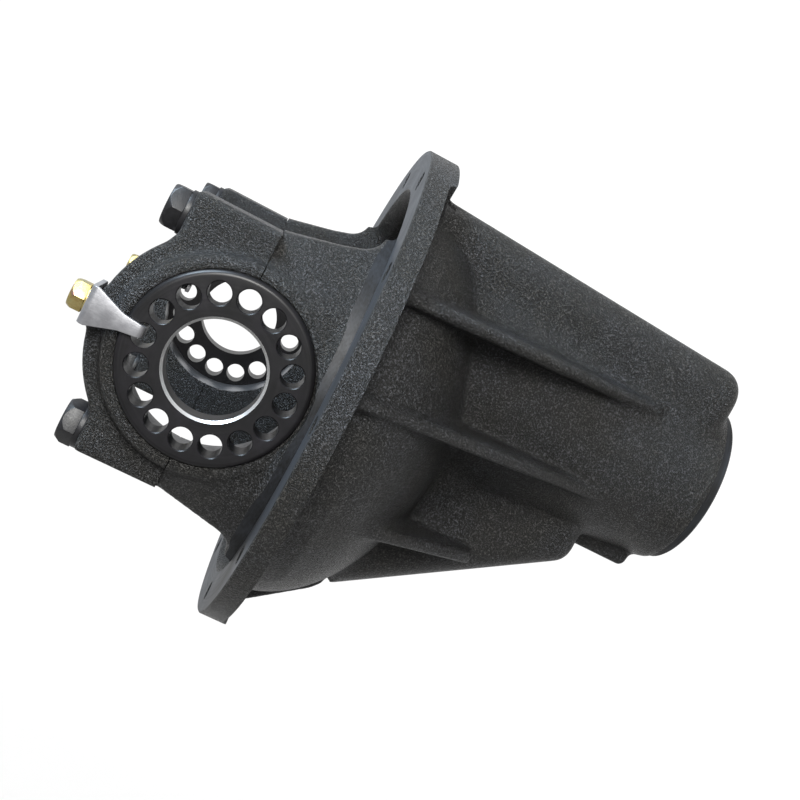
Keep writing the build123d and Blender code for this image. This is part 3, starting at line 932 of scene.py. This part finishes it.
low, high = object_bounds()
middle = (low + high) / 2


def floor_plane():
    bm = bmesh.new()
    bmesh.ops.create_grid(bm, x_segments=8, y_segments=8, size=6.0)
    mesh = bpy.data.meshes.new("floor")
    bm.to_mesh(mesh)
    bm.free()
    floor = new_object("studio_floor", mesh)
    floor.location = (0.0, 0.0, low.z - 0.32)
    mat, nodes, links, shader = material("pale_floor")
    shade = noise(nodes, links, object_place(nodes), 3.0, 2.0)
    colour = ramp(nodes, links, shade, [(0.2, (0.955, 0.955, 0.955)), (0.8, (0.97, 0.97, 0.97))])
    links.new(colour, shader.inputs["Base Color"])
    shader.inputs["Roughness"].default_value = 0.9
    shader.inputs["Specular IOR Level"].default_value = 0.0
    floor.data.materials.append(mat)
    floor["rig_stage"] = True
    return floor


floor_plane()

world = bpy.data.worlds.new("studio")
world.use_nodes = True
world.node_tree.nodes["Background"].inputs["Color"].default_value = (1.0, 1.0, 1.0, 1.0)
world.node_tree.nodes["Background"].inputs["Strength"].default_value = 1.08
bpy.context.scene.world = world

# The view: direction from the part to the camera, and the camera's roll about it.
VIEW_AZIMUTH, VIEW_ELEVATION, VIEW_ROLL = radians(-99.21), radians(7.35), radians(27.90)
CAMERA_PLACE = (-0.0506, -0.6041, 0.0900)
LENS_MM = 52.362

BACK = Vector(
    (
        cos(VIEW_ELEVATION) * cos(VIEW_AZIMUTH),
        cos(VIEW_ELEVATION) * sin(VIEW_AZIMUTH),
        sin(VIEW_ELEVATION),
    )
)
level_right = Vector((0.0, 0.0, 1.0)).cross(BACK).normalized()
level_up = BACK.cross(level_right)
RIGHT = level_right * cos(VIEW_ROLL) + level_up * sin(VIEW_ROLL)
UP = level_up * cos(VIEW_ROLL) - level_right * sin(VIEW_ROLL)

lit = bpy.data.collections.new("lit_by_softboxes")
for obj in bpy.context.scene.objects:
    if obj.type == "MESH" and "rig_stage" not in obj:
        lit.objects.link(obj)


def softbox(name, direction, distance, size, power, colour):
    lamp = bpy.data.lights.new(name, "AREA")
    lamp.shape = "RECTANGLE"
    lamp.size, lamp.size_y = size
    lamp.energy = power
    lamp.color = colour
    obj = bpy.data.objects.new(name, lamp)
    bpy.context.scene.collection.objects.link(obj)
    obj.location = middle + direction.normalized() * distance
    obj.rotation_mode = "QUATERNION"
    obj.rotation_quaternion = (-direction).to_track_quat("-Z", "Y")
    obj.light_linking.receiver_collection = lit
    return obj


softbox("top_softbox", UP * 1.0 + BACK * 0.45 - RIGHT * 0.25, 0.95, (0.45, 0.35), 36.0, (0.70, 0.85, 1.0))
softbox("front_softbox", BACK * 1.0 + UP * 0.36 + RIGHT * 0.14, 1.2, (0.50, 0.50), 50.0, (1.0, 0.99, 0.96))
softbox("low_softbox", -UP * 0.9 + BACK * 0.7 + RIGHT * 0.1, 1.1, (0.4, 0.3), 34.0, (1.0, 0.95, 0.84))

camera_data = bpy.data.cameras.new("camera")
camera_data.sensor_width = 36.0
camera_data.lens = LENS_MM
camera_data.clip_start = 0.01
camera_data.clip_end = 40.0
camera = bpy.data.objects.new("camera", camera_data)
bpy.context.scene.collection.objects.link(camera)
camera.matrix_world = Matrix.Translation(CAMERA_PLACE) @ Matrix(
    (
        (RIGHT.x, UP.x, BACK.x),
        (RIGHT.y, UP.y, BACK.y),
        (RIGHT.z, UP.z, BACK.z),
    )
).to_4x4()
bpy.context.scene.camera = camera
bpy.context.scene.view_settings.view_transform = "Standard"
